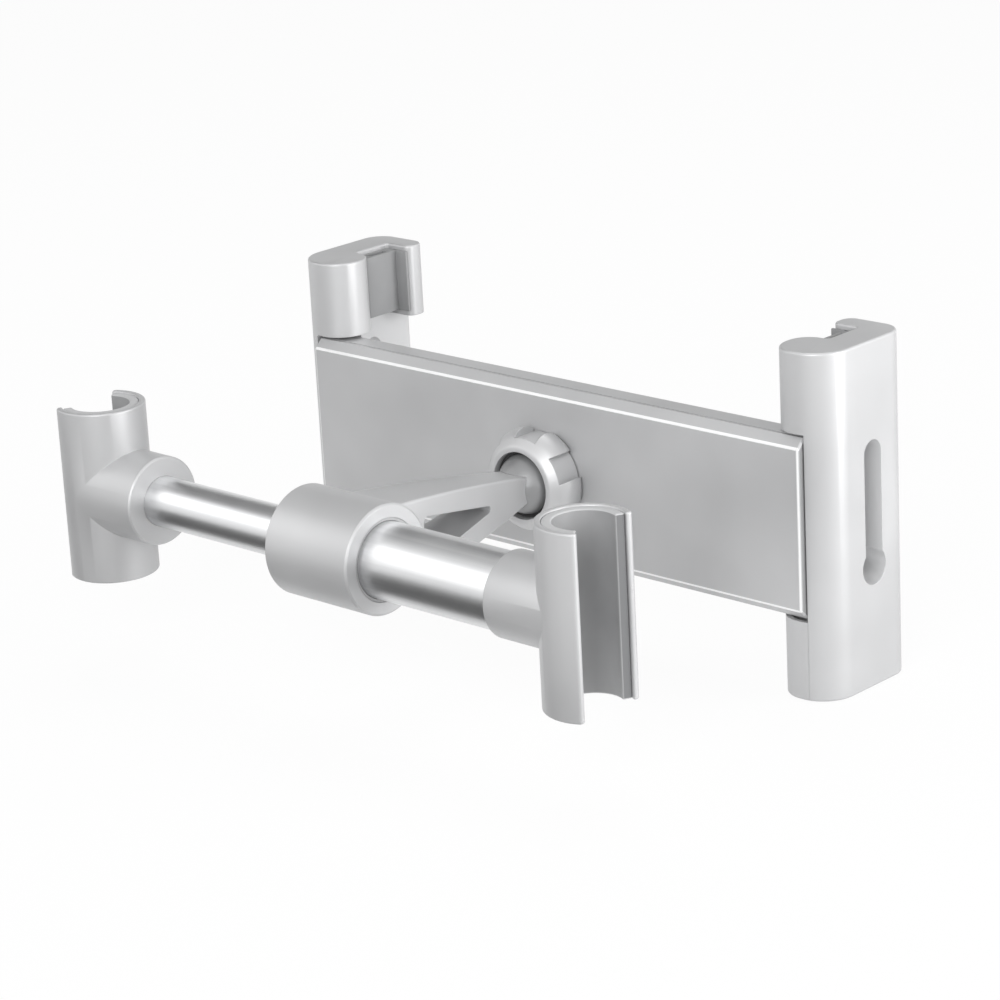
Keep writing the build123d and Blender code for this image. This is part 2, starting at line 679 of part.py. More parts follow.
def rack_slider(name, side):
    # The left slider carries the upper rack and the right one the lower rack.
    rack = -side
    body = (slider_rear_y, slider_front_y)
    flank_lean = tan(radians(pressure_angle))
    tooth_middle_half = rack_pitch / 4 - tooth_backlash / 4
    tooth_count = int((slider_arm_end_u - rack_start_u) / rack_pitch)
    arm_z = sorted((rack * rack_root_z, rack * slider_half_width))
    with BuildPart() as slider:
        side_box(side, (slider_body_start_u, slider_seat_end_u), body,
                 (-slider_half_width, slider_half_width))
        side_box(side, (-slider_arm_end_u, slider_seat_end_u), body, arm_z)
        side_box(side, (notch_u + part_gap, slider_seat_end_u), body, (slider_tab_bottom_z, 0))
        side_box(side, (slider_tab_inner_u, slider_seat_end_u), body,
                 (slider_tab_bottom_z, slider_tab_top_z))
        with BuildSketch(holder_plane(slider_front_y)):
            for tooth in range(tooth_count):
                middle_u = -side * (rack_start_u - rack_start_u % rack_pitch + rack_pitch * (tooth + 0.5))
                tip_half = tooth_middle_half - rack_addendum * flank_lean
                root_half = tooth_middle_half + rack_dedendum * flank_lean
                Polygon((middle_u - tip_half, rack * rack_tip_z),
                        (middle_u + tip_half, rack * rack_tip_z),
                        (middle_u + root_half, rack * rack_root_z),
                        (middle_u + root_half, rack * (rack_root_z + rack_addendum)),
                        (middle_u - root_half, rack * (rack_root_z + rack_addendum)),
                        (middle_u - root_half, rack * rack_root_z), align=None)
        extrude(amount=slider_thickness)
        ear_u = (-spring_peg_u - spring_ear_width / 2, -spring_peg_u + spring_ear_width / 2)
        ear_z = sorted((rack * (slider_half_width - spring_ear_width),
                        rack * (casing_screw_z + spring_peg_r)))
        side_box(side, ear_u, (slider_rear_y, slider_rear_y + spring_ear_thickness), ear_z)
        with BuildSketch(holder_plane(spring_y + 2 * spring_wire_r)):
            with Locations((-side * spring_peg_u, rack * casing_screw_z)):
                Circle(spring_peg_r)
        extrude(amount=spring_y + 2 * spring_wire_r - slider_rear_y)
        with BuildSketch(holder_plane(slider_front_y)):
            with Locations(*[(side * jaw_screw_u, z) for z in jaw_screw_z]):
                Circle(jaw_screw_r + slide_gap)
        extrude(amount=slider_thickness, mode=Mode.SUBTRACT)
    save(slider, name)


def slider_screws(name, side):
    with BuildPart() as screws:
        with BuildSketch(holder_plane(slider_rear_y + jaw_screw_length)):
            with Locations(*[(side * jaw_screw_u, z) for z in jaw_screw_z]):
                Circle(jaw_screw_r)
        extrude(amount=jaw_screw_length)
        with BuildSketch(holder_plane(slider_rear_y)):
            with Locations(*[(side * jaw_screw_u, z) for z in jaw_screw_z]):
                Circle(jaw_screw_head_r)
        extrude(amount=jaw_screw_head)
    save(screws, name)


def jaw_spring(name, side):
    # An extension spring from a casing boss to the peg on the slider's ear.
    rack = -side
    anchor_loop_r = casing_boss_r + slide_gap + spring_wire_r
    peg_loop_r = spring_peg_r + slide_gap + spring_wire_r
    coil_start = spring_peg_u + peg_loop_r + spring_coil_r / 2
    coil_end = casing_screw_u - anchor_loop_r - spring_coil_r / 2
    wire = 2 * spring_wire_r
    places = [(-side * casing_screw_u, anchor_loop_r), (-side * spring_peg_u, peg_loop_r)]
    with BuildPart() as spring:
        with BuildSketch(holder_plane(spring_y + spring_wire_r)):
            for place_u, loop_r in places:
                with Locations((place_u, rack * casing_screw_z)):
                    Circle(loop_r + spring_wire_r)
            with Locations((-side * (coil_start + coil_end) / 2, rack * casing_screw_z)):
                Rectangle(coil_end - coil_start + 2 * spring_coil_r, wire)
            for place_u, loop_r in places:
                with Locations((place_u, rack * casing_screw_z)):
                    Circle(loop_r - spring_wire_r, mode=Mode.SUBTRACT)
        extrude(amount=wire)
        coil_count = int((coil_end - coil_start) / spring_pitch)
        for coil in range(coil_count):
            coil_u = -side * (coil_start + spring_pitch * (coil + 0.5))
            with BuildSketch(tube_plane(arm_x + coil_u - spring_pitch * 0.3)):
                with Locations((spring_y, rack * casing_screw_z)):
                    Circle(spring_coil_r + spring_wire_r)
            extrude(amount=spring_pitch * 0.6)
        with BuildSketch(tube_plane(arm_x - side * (coil_start + coil_end) / 2)):
            with Locations((spring_y, rack * casing_screw_z)):
                Circle(spring_coil_r)
        extrude(amount=(coil_end - coil_start) / 2 - spring_pitch * 0.2, both=True)
    save(spring, name)


# Jaws: a moulded wall with a round bar and a hook at top and bottom. The lower bar's inner half is
# a thin heel cover over the screws that hold the slider.


def jaw_outline(side):
    corners = {
        (side * jaw_outer_u, jaw_rear_y): jaw_rear_corner,
        (side * jaw_outer_u, jaw_front_y): jaw_front_corner,
        (side * hook_inner_u, jaw_front_y): hook_outer_corner,
        (side * hook_inner_u, hook_rear_y): hook_inner_corner,
        (side * jaw_wall_u, hook_rear_y): jaw_inner_corner,
        (side * jaw_wall_u, bar_front_y): jaw_inner_corner,
        (side * bar_inner_u, bar_front_y): bar_front_round,
        (side * bar_inner_u, jaw_rear_y): bar_rear_round,
    }
    FilletPolyline(*corners.keys(), radius=list(corners.values()), close=True)


def jaw(name, side):
    with BuildPart() as body:
        with BuildSketch(plan_plane(-jaw_half_height)):
            with BuildLine():
                jaw_outline(side)
            make_face()
        extrude(amount=2 * jaw_half_height)
        fillet(body.edges().group_by(Axis.Z)[-1], jaw_edge_round)
        fillet(body.edges().group_by(Axis.Z)[0], jaw_edge_round)
        side_box(side, (0, notch_u), (0, bar_front_y), (-notch_half_height, notch_half_height),
                 Mode.SUBTRACT)
        side_box(side, (0, jaw_wall_u), (bar_front_y - part_gap, 2 * jaw_front_y),
                 (-hook_lower_z, hook_lower_z), Mode.SUBTRACT)
        side_box(side, (0, notch_u), (0, slider_front_y), (-2 * jaw_half_height, 0), Mode.SUBTRACT)
        with BuildSketch(plan_plane(notch_half_height)):
            with BuildLine():
                FilletPolyline((side * (bar_inner_u + bar_core_wall), jaw_rear_y + bar_core_wall),
                               (side * notch_u, jaw_rear_y + bar_core_wall),
                               (side * notch_u, bar_front_y - bar_core_wall),
                               (side * (bar_inner_u + bar_core_wall), bar_front_y - bar_core_wall),
                               radius=[bar_core_round, bar_core_corner, bar_core_corner, bar_core_round],
                               close=True)
            make_face()
        extrude(amount=jaw_half_height - notch_half_height - bar_core_wall, mode=Mode.SUBTRACT)
        side_box(side, (0, slider_seat_end_u + press_gap),
                 (slider_rear_y - press_gap, slider_front_y + press_gap),
                 (slider_tab_bottom_z - press_gap, slider_half_width + press_gap), Mode.SUBTRACT)
        slot_low_z = cable_slot_round_z - cable_slot_width / 2
        with BuildSketch(tube_plane(arm_x)):
            with Locations((cable_slot_y, cable_slot_round_z)):
                Circle(cable_slot_round_r)
            with Locations((cable_slot_y, (cable_slot_top_z + slot_low_z) / 2)):
                SlotOverall(cable_slot_top_z - slot_low_z, cable_slot_width, rotation=90)
        extrude(amount=side * 2 * jaw_outer_u, mode=Mode.SUBTRACT)
        with BuildSketch(holder_plane(slider_rear_y + jaw_screw_length + part_gap)):
            with Locations(*[(side * jaw_screw_u, z) for z in jaw_screw_z]):
                Circle(jaw_screw_r + press_gap)
        extrude(amount=jaw_screw_length, mode=Mode.SUBTRACT)
    save(body, name)


def heel_cover(name, side):
    with BuildPart() as cover:
        with BuildSketch(plan_plane(-jaw_half_height)):
            with BuildLine():
                jaw_outline(side)
            make_face()
        extrude(amount=2 * jaw_half_height)
        fillet(cover.edges().group_by(Axis.Z)[0], jaw_edge_round)
        side_box(side, (0, 2 * jaw_outer_u), (0, 2 * jaw_front_y),
                 (-notch_half_height, 2 * jaw_half_height), Mode.SUBTRACT)
        side_box(side, (notch_u - press_gap, 2 * jaw_outer_u), (0, 2 * jaw_front_y),
                 (-2 * jaw_half_height, jaw_half_height), Mode.SUBTRACT)
        side_box(side, (0, 2 * jaw_outer_u), (slider_front_y - press_gap, 2 * jaw_front_y),
                 (-2 * jaw_half_height, jaw_half_height), Mode.SUBTRACT)
        with BuildSketch(plan_plane(-jaw_half_height + heel_wall)):
            with BuildLine():
                FilletPolyline((side * (bar_inner_u + heel_wall), jaw_rear_y + heel_wall),
                               (side * (bar_inner_u + heel_wall), 2 * bar_front_y),
                               (side * jaw_outer_u, 2 * bar_front_y),
                               (side * jaw_outer_u, jaw_rear_y + heel_wall),
                               radius=bar_rear_round - heel_wall, close=True)
            make_face()
        extrude(amount=2 * jaw_half_height, mode=Mode.SUBTRACT)
    save(cover, name)


def jaw_pad(name, side, low_z, high_z):
    leg_end_u = jaw_wall_u - press_gap
    rear_y = bar_front_y + press_gap
    front_y = hook_rear_y - press_gap
    leg_rear_y = rear_y + jaw_inner_corner
    leg_front_y = front_y - jaw_inner_corner
    z_range = (low_z, high_z)
    with BuildPart() as pad:
        side_box(side, (pad_face_u, pad_face_u + pad_web), (rear_y, front_y), z_range)
        side_box(side, (pad_face_u, leg_end_u), (leg_rear_y, leg_rear_y + pad_leg), z_range)
        side_box(side, (pad_face_u, leg_end_u), (leg_front_y - pad_leg, leg_front_y), z_range)
        side_box(side, (leg_end_u - pad_back_web, leg_end_u), (leg_rear_y, leg_front_y), z_range)
        side_box(side, (pad_lip_u, pad_face_u + pad_web), (front_y - pad_lip, front_y), z_range)
    save(pad, name)


for side_name, side in (("left", -1), ("right", 1)):
    rack_slider(f"{side_name}_slider", side)
    slider_screws(f"{side_name}_slider_screws", side)
    jaw_spring(f"{side_name}_spring", side)
    jaw(f"{side_name}_jaw", side)
    heel_cover(f"{side_name}_jaw_heel_cover", side)
    jaw_pad(f"{side_name}_upper_pad", side, pad_lower_z, pad_upper_z)
    jaw_pad(f"{side_name}_lower_pad", side, -pad_upper_z, -pad_lower_z)
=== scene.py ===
import json
from math import pi, radians

import bmesh
import bpy
from mathutils import Matrix, Vector


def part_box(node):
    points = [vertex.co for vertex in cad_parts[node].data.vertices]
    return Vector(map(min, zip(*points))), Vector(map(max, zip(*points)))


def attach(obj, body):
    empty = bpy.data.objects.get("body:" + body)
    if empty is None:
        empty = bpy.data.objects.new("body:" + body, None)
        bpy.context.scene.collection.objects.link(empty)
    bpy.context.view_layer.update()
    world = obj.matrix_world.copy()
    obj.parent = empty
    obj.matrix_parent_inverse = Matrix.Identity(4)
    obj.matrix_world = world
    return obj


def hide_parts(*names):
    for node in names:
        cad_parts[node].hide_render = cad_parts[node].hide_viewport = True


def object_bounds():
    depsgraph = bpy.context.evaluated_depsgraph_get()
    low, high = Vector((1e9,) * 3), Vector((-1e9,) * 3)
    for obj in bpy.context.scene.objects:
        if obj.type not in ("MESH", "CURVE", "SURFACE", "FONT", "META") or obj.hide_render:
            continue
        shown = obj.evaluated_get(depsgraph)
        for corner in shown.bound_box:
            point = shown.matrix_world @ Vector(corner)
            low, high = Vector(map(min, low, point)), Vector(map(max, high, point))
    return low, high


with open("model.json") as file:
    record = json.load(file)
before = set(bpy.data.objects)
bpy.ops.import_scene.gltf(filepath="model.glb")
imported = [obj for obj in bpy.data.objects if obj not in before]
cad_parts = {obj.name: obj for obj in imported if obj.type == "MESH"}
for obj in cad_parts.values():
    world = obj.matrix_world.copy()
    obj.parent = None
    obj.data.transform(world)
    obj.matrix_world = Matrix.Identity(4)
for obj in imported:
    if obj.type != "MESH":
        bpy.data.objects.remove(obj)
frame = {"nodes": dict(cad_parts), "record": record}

cadBox = [list(corner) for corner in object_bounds()]
scene = bpy.context.scene
mm = 0.001
white = (1, 1, 1, 1)
bevelSamples = 6


def newMaterial(name):
    material = bpy.data.materials.new(name)
    material.use_nodes = True
    nodes = material.node_tree.nodes
    return material, nodes, material.node_tree.links


def mathNode(nodes, links, operation, first, second=None):
    # second is another node's output or a number
    node = nodes.new("ShaderNodeMath")
    node.operation = operation
    links.new(first, node.inputs[0])
    if isinstance(second, bpy.types.NodeSocket):
        links.new(second, node.inputs[1])
    elif second is not None:
        node.inputs[1].default_value = second
    return node.outputs["Value"]


def noiseField(nodes, links, coords, noise):
    source = coords.outputs["Object"]
    if "stretch" in noise:
        mapping = nodes.new("ShaderNodeMapping")
        mapping.inputs["Scale"].default_value = noise["stretch"]
        links.new(source, mapping.inputs["Vector"])
        source = mapping.outputs["Vector"]
    node = nodes.new("ShaderNodeTexNoise")
    node.inputs["Scale"].default_value = noise["scale"]
    node.inputs["Detail"].default_value = noise["detail"]
    links.new(source, node.inputs["Vector"])
    return node.outputs["Fac"]


def toneRamp(nodes, links, field, shader, look):
    ramp = nodes.new("ShaderNodeValToRGB")
    stops = ramp.color_ramp.elements
    for stop, position, tone in zip(stops, look["toneSpan"], look["tones"]):
        stop.position = position
        stop.color = (*tone, 1)
    links.new(field, ramp.inputs["Fac"])
    links.new(ramp.outputs["Color"], shader.inputs["Base Color"])


def roughnessRange(nodes, links, field, shader, look):
    span = nodes.new("ShaderNodeMapRange")
    span.inputs["To Min"].default_value, span.inputs["To Max"].default_value = look["roughness"]
    links.new(field, span.inputs["Value"])
    links.new(span.outputs["Result"], shader.inputs["Roughness"])


def surfaceBump(nodes, links, field, shader, look):
    bump = nodes.new("ShaderNodeBump")
    bump.inputs["Strength"].default_value = look["bump"]
    bump.inputs["Distance"].default_value = look["bumpDepth"]
    links.new(field, bump.inputs["Height"])
    if "rounding" in look:
        bevel = nodes.new("ShaderNodeBevel")
        bevel.samples = bevelSamples
        bevel.inputs["Radius"].default_value = look["rounding"]
        links.new(bevel.outputs["Normal"], bump.inputs["Normal"])
    links.new(bump.outputs["Normal"], shader.inputs["Normal"])


def makeMaterial(name, look):
    # noises in the piece's own space drive its tone, its roughness and its bump
    material, nodes, links = newMaterial(name)
    shader = nodes["Principled BSDF"]
    coords = nodes.new("ShaderNodeTexCoord")
    fields = {
        field: noiseField(nodes, links, coords, noise)
        for field, noise in look["noises"].items()
    }
    toneRamp(nodes, links, fields[look["toneFrom"]], shader, look)
    roughnessRange(nodes, links, fields[look["roughnessFrom"]], shader, look)
    surfaceBump(nodes, links, fields[look["bumpFrom"]], shader, look)
    shader.inputs["Metallic"].default_value = look["metal"]
    shader.inputs["Specular IOR Level"].default_value = look["specular"]
    return material


def shaded(tone, share):
    return tuple(channel * share for channel in tone), tone


# satin silver moulding: a fine spark texture over a slow drift of tone
shellLook = {
    "noises": {"drift": {"scale": 28.0, "detail": 2.0}, "grain": {"scale": 5200.0, "detail": 2.0}},
    "toneFrom": "drift", "toneSpan": (0.35, 0.65),
    "tones": ((0.49, 0.492, 0.498), (0.55, 0.552, 0.558)),
    "roughnessFrom": "grain", "roughness": (0.40, 0.51),
    "bumpFrom": "grain", "bump": 0.06, "bumpDepth": 0.02 * mm, "rounding": 0.28 * mm,
    "metal": 0.45, "specular": 0.5,
}
bushLook = {
    **shellLook,
    "tones": ((0.36, 0.362, 0.366), (0.42, 0.422, 0.426)),
    "roughness": (0.43, 0.54), "bump": 0.05, "metal": 0.2,
}
# drawn aluminium: fine lines run along the tube
tubeLook = {
    "noises": {
        "lines": {"scale": 900.0, "detail": 4.0, "stretch": (0.012, 1.0, 1.0)},
        "cloud": {"scale": 60.0, "detail": 2.0},
    },
    "toneFrom": "lines", "toneSpan": (0.2, 0.75),
    "tones": ((0.69, 0.695, 0.705), (0.81, 0.815, 0.82)),
    "roughnessFrom": "cloud", "roughness": (0.32, 0.40),
    "bumpFrom": "lines", "bump": 0.06, "bumpDepth": 0.01 * mm, "rounding": 0.15 * mm,
    "metal": 1.0, "specular": 0.5,
}
# soft rubber, matt and finely grained
linerLook = {
    "noises": {"drift": {"scale": 45.0, "detail": 3.0}, "grain": {"scale": 2600.0, "detail": 3.0}},
    "toneFrom": "drift", "toneSpan": (0.35, 0.65),
    "tones": ((0.26, 0.262, 0.266), (0.31, 0.312, 0.316)),
    "roughnessFrom": "grain", "roughness": (0.44, 0.60),
    "bumpFrom": "grain", "bump": 0.1, "bumpDepth": 0.03 * mm, "rounding": 0.12 * mm,
    "metal": 0.0, "specular": 0.4,
}
padLook = {
    **linerLook,
    "noises": {"drift": {"scale": 45.0, "detail": 3.0}, "grain": {"scale": 1800.0, "detail": 3.0}},
    "tones": ((0.23, 0.232, 0.236), (0.28, 0.282, 0.286)),
    "roughness": (0.46, 0.62),
}
# machined steel: the tool left lines round the piece
screwLook = {
    "noises": {"turned": {"scale": 1500.0, "detail": 3.0, "stretch": (1.0, 0.05, 1.0)}},
    "toneFrom": "turned", "toneSpan": (0.35, 0.65), "tones": shaded((0.52, 0.52, 0.53), 0.8),
    "roughnessFrom": "turned", "roughness": (0.28, 0.42),
    "bumpFrom": "turned", "bump": 0.08, "bumpDepth": 0.02 * mm,
    "metal": 1.0, "specular": 0.5,
}
sliderLook = {**screwLook, "tones": shaded((0.56, 0.565, 0.57), 0.8), "roughness": (0.24, 0.38)}
springLook = {**screwLook, "tones": shaded((0.50, 0.50, 0.52), 0.8), "roughness": (0.16, 0.30)}
# plain bearing plastics with a faint speckle
raceLook = {
    "noises": {"speckle": {"scale": 900.0, "detail": 3.0}},
    "toneFrom": "speckle", "toneSpan": (0.35, 0.65), "tones": shaded((0.012, 0.012, 0.013), 0.75),
    "roughnessFrom": "speckle", "roughness": (0.45, 0.58),
    "bumpFrom": "speckle", "bump": 0.06, "bumpDepth": 0.02 * mm,
    "metal": 0.0, "specular": 0.5,
}
gearLook = {**raceLook, "tones": shaded((0.74, 0.74, 0.71), 0.75), "roughness": (0.35, 0.48)}

slotMaterials = {
    "casting_grey": makeMaterial("satinShell", shellLook),
    "bush_grey": makeMaterial("bushPlastic", bushLook),
    "tube_aluminium": makeMaterial("anodisedTube", tubeLook),
    "liner_rubber": makeMaterial("hookLinerRubber", linerLook),
    "pad_rubber": makeMaterial("padRubber", padLook),
    "bearing_plastic": makeMaterial("racePlastic", raceLook),
    "screw_steel": makeMaterial("screwSteel", screwLook),
    "spring_steel": makeMaterial("springSteel", springLook),
    "slider_steel": makeMaterial("sliderSteel", sliderLook),
    "gear_plastic": makeMaterial("gearPlastic", gearLook),
}
# the arm, the cover and the jaws get their own copies of the shell, to carry painted light and
# shade
armShell = makeMaterial("armShell", shellLook)
coverShell = makeMaterial("coverShell", shellLook)
jawShell = makeMaterial("jawShell", shellLook)
shellsWithPaintedLight = {
    "support_arm": armShell, "rear_cover": coverShell, "left_jaw": jawShell, "right_jaw": jawShell,
}


def ballTest(nodes, links, coords, mark):
    away = nodes.new("ShaderNodeVectorMath")
    away.operation = "DISTANCE"
    away.inputs[1].default_value = [value * mm for value in mark["centre"]]
    links.new(coords.outputs["Object"], away.inputs[0])
    return mathNode(nodes, links, "LESS_THAN", away.outputs["Value"], mark["radius"] * mm)


def blockTest(nodes, links, coords, mark):
    # a block lies between two distances off a middle x, two y and two heights off level
    split = nodes.new("ShaderNodeSeparateXYZ")
    links.new(coords.outputs["Object"], split.inputs["Vector"])
    middle = mark.get("middle", holderMiddle) * mm
    offset = mathNode(nodes, links, "SUBTRACT", split.outputs["X"], middle)
    measures = {
        "offMiddle": mathNode(nodes, links, "ABSOLUTE", offset),
        "y": split.outputs["Y"],
        "offLevel": mathNode(nodes, links, "ABSOLUTE", split.outputs["Z"]),
    }
    tests = [
        mathNode(nodes, links, operation, measures[name], limit * mm)
        for name in measures if name in mark
        for operation, limit in zip(("GREATER_THAN", "LESS_THAN"), mark[name])
    ]
    inside = tests[0]
    for test in tests[1:]:
        inside = mathNode(nodes, links, "MULTIPLY", inside, test)
    return inside


def paintLightAndShade(material, marks):
    # paints light and shade onto places of one material, each in its own tone
    nodes, links = material.node_tree.nodes, material.node_tree.links
    colour = nodes["Principled BSDF"].inputs["Base Color"]
    coords = nodes.new("ShaderNodeTexCoord")
    for mark in marks.values():
        placeTest = ballTest if "centre" in mark else blockTest
        blend = nodes.new("ShaderNodeMix")
        blend.data_type = "RGBA"
        blend.inputs["B"].default_value = (*mark["tone"], 1)
        links.new(placeTest(nodes, links, coords, mark), blend.inputs["Factor"])
        links.new(colour.links[0].from_socket, blend.inputs["A"])
        links.new(blend.outputs["Result"], colour)


def inMillimetres(place):
    return [value / mm for value in place]


# the marks' places are in millimetres, and follow the frame's own boxes and joints
record = frame["record"]
jointOf = {joint["name"]: joint for joint in record["behaviour"]["joints"]}
ballCentre = inMillimetres(jointOf["ball_tilt"]["pos_m"])
coverLow, coverHigh = map(inMillimetres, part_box("front_cover"))
jawLow, jawHigh = map(inMillimetres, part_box("right_jaw"))
linerHigh = inMillimetres(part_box("right_hook_liner")[1])
farLinerLow = inMillimetres(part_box("left_hook_liner")[0])
holderMiddle = (coverLow[0] + coverHigh[0]) / 2
hooksMiddle = (farLinerLow[0] + linerHigh[0]) / 2
coverHalf = coverHigh[0] - holderMiddle
coverTop = coverHigh[2]
seamY = coverLow[1]
jawOuter = jawHigh[0] - holderMiddle
linerTop = linerHigh[2]
linerReach = linerHigh[0] - hooksMiddle

# the ball is moulded on the arm; it is painted darker than the arm, as painted shade
armPaintedShade = {
    "ball": {"centre": ballCentre, "radius": 8.1, "tone": (0.27, 0.272, 0.276)},
}
# the cover's bevel edges get painted highlights, its end faces get painted shade, and its seam gets
# the painted shade of a groove
coverPaintedLightAndShade = {
    "longEdgeHighlight": {
        "y": (seamY - 3.6, seamY - 3.1), "offLevel": (coverTop - 2.68, coverTop - 2.0),
        "tone": (0.95, 0.95, 0.955),
    },
    "endEdgeHighlight": {
        "offMiddle": (coverHalf - 0.7, coverHalf - 0.2),
        "y": (seamY - 3.6, seamY - 3.0), "offLevel": (0, coverTop - 2.0),
        "tone": (0.80, 0.80, 0.805),
    },
    "endFaceShade": {
        "offMiddle": (coverHalf - 0.04, coverHalf + 7.6), "tone": (0.30, 0.302, 0.306),
    },
    "seam": {"y": (seamY - 0.48, seamY + 0.02), "tone": (0.05, 0.05, 0.052)},
}
# the keyhole slot's walls, inside the jaw's outer face, are painted lighter: painted light in the
# slot's shaded hollow
jawPaintedLight = {
    "slot": {
        "offMiddle": (jawOuter - 9.45, jawOuter - 0.08),
        "y": (jawLow[1] + 13.62, jawLow[1] + 22.78), "offLevel": (0, 19.4),
        "tone": (0.70, 0.702, 0.708),
    },
}
# the liner's end faces are painted pale as painted light, and its two tips at the mouth are painted
# dark as painted shade
linerPaintedLightAndShade = {
    "end": {"offLevel": (linerTop - 0.3, linerTop + 0.65), "tone": (0.50, 0.502, 0.508)},
    "tip": {
        "middle": hooksMiddle, "offMiddle": (linerReach - 0.73, linerReach + 8.1),
        "offLevel": (0, linerTop - 0.3), "tone": (0.17, 0.172, 0.176),
    },
}
paintLightAndShade(armShell, armPaintedShade)
paintLightAndShade(coverShell, coverPaintedLightAndShade)
paintLightAndShade(jawShell, jawPaintedLight)
paintLightAndShade(slotMaterials["liner_rubber"], linerPaintedLightAndShade)

slotOf = {part["node"]: part["material_slot"] for part in record["subparts"]}
bodyOf = {
    node: body
    for body, members in record["behaviour"]["bodies"].items()
    for node in members
}
nodeShading = {"weld": 0.002 * mm, "splitAngle": 28}
pieceShading = {"weld": 0.001 * mm, "splitAngle": 32}


def splitEdges(piece, angle):
    split = piece.modifiers.new("split", "EDGE_SPLIT")
    split.split_angle = radians(angle)


def dressNode(name):
    # a CAD node keeps its mesh and gets a finish; welding and an edge split only smooth its shading
    node = frame["nodes"][name]
    node.data.materials.clear()
    node.data.materials.append(shellsWithPaintedLight.get(name, slotMaterials[slotOf[name]]))
    for face in node.data.polygons:
        face.use_smooth = True
    weld = node.modifiers.new("weld", "WELD")
    weld.merge_threshold = nodeShading["weld"]
    splitEdges(node, nodeShading["splitAngle"])


for nodeName in frame["nodes"]:
    dressNode(nodeName)
print("nodes dressed:", len(frame["nodes"]))


def addPiece(form, name, node):
    # a finished piece stands for one CAD node, and rides on that node's body
    mesh = bpy.data.meshes.new(name)
    bmesh.ops.remove_doubles(form, verts=form.verts, dist=pieceShading["weld"])
    bmesh.ops.recalc_face_normals(form, faces=form.faces)
    for face in form.faces:
        face.smooth = True
    form.to_mesh(mesh)
    form.free()
    piece = bpy.data.objects.new(name, mesh)
    scene.collection.objects.link(piece)
    mesh.materials.append(slotMaterials[slotOf[node]])
    splitEdges(piece, pieceShading["splitAngle"])
    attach(piece, bodyOf[node])
    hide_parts(node)


def sheetForm(width, height):
    form = bmesh.new()
    bmesh.ops.create_grid(form, x_segments=1, y_segments=1, size=0.5)
    bmesh.ops.scale(form, verts=form.verts, vec=(width, height, 1))
    return form


def addBox(form, low, high):
    made = bmesh.ops.create_cube(form, size=1.0)["verts"]
    bmesh.ops.scale(form, verts=made, vec=[b - a for a, b in zip(low, high)])
    bmesh.ops.translate(form, verts=made, vec=[(a + b) / 2 for a, b in zip(low, high)])


def turnForm(form, degrees, axis):
    turn = Matrix.Rotation(radians(degrees), 3, axis)
    bmesh.ops.rotate(form, verts=form.verts, cent=(0, 0, 0), matrix=turn)


def roundCorners(form, offset, segments):
    bmesh.ops.bevel(form, geom=form.verts[:], offset=offset, segments=segments, profile=0.5,
                    affect="VERTICES", material=-1)


def roundEdges(form, edges, offset, segments):
    bmesh.ops.bevel(form, geom=edges, offset=offset, segments=segments, profile=0.5,
                    affect="EDGES", material=-1)


def sharpEdges(form, angle):
    joined = [edge for edge in form.edges if len(edge.link_faces) == 2]
    return [edge for edge in joined if edge.calc_face_angle(0.0) > radians(angle)]


def thicken(form, depth):
    # the faces of a flat form are copied and raised, and walls join the two
    raised = bmesh.ops.extrude_face_region(form, geom=form.faces[:], use_keep_orig=True)["geom"]
    lifted = [item for item in raised if isinstance(item, bmesh.types.BMVert)]
    bmesh.ops.translate(form, verts=lifted, vec=(0, 0, depth))
    bmesh.ops.recalc_face_normals(form, faces=form.faces)


linerSet = {
    "inner": 7.4 * mm, "wall": 2.4 * mm, "mouthHalfAngle": 62, "steps": 64,
    "rimRound": 0.45 * mm, "rimSteps": 4, "tipRound": 0.3 * mm, "tipSteps": 3,
}


def hookLiner(node, opening):
    # a wire profile of the liner's wall is spun round the post, and its two tips are closed
    low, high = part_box(node)
    inner, wall, mouth = linerSet["inner"], linerSet["wall"], linerSet["mouthHalfAngle"]
    postX = (high[0] - inner - wall) if opening < 0 else (low[0] + inner + wall)
    form = sheetForm(wall, high[2] - low[2])
    roundCorners(form, linerSet["rimRound"], linerSet["rimSteps"])
    turnForm(form, 90, "X")
    bmesh.ops.translate(form, verts=form.verts, vec=(inner + wall / 2, 0, 0))
    turnForm(form, mouth if opening > 0 else mouth - 180, "Z")
    bmesh.ops.delete(form, geom=form.faces[:], context="FACES_ONLY")
    bmesh.ops.spin(form, geom=form.verts[:] + form.edges[:], cent=(0, 0, 0), axis=(0, 0, 1),
                   angle=radians(360 - 2 * mouth), steps=linerSet["steps"])
    bmesh.ops.holes_fill(form, edges=form.edges[:], sides=0)
    bmesh.ops.recalc_face_normals(form, faces=form.faces)
    # the two tips are the only faces with more than four corners
    tips = [face for face in form.faces if len(face.verts) > 4]
    tipEdges = list({edge for face in tips for edge in face.edges})
    roundEdges(form, tipEdges, linerSet["tipRound"], linerSet["tipSteps"])
    bmesh.ops.translate(form, verts=form.verts, vec=(postX, 0, (low[2] + high[2]) / 2))
    addPiece(form, node + "_soft", node)


hookLiner("right_hook_liner", 1)
hookLiner("left_hook_liner", -1)
print("hook liners made")

padSet = {
    "faceWeb": 1.2 * mm, "backWeb": 0.8 * mm, "leg": 1.6 * mm, "inset": 1.0 * mm,
    "lipInset": 3.75 * mm, "lip": 0.8 * mm,
    "edgeRound": 0.2 * mm, "edgeSteps": 2, "sharpAngle": 60,
}


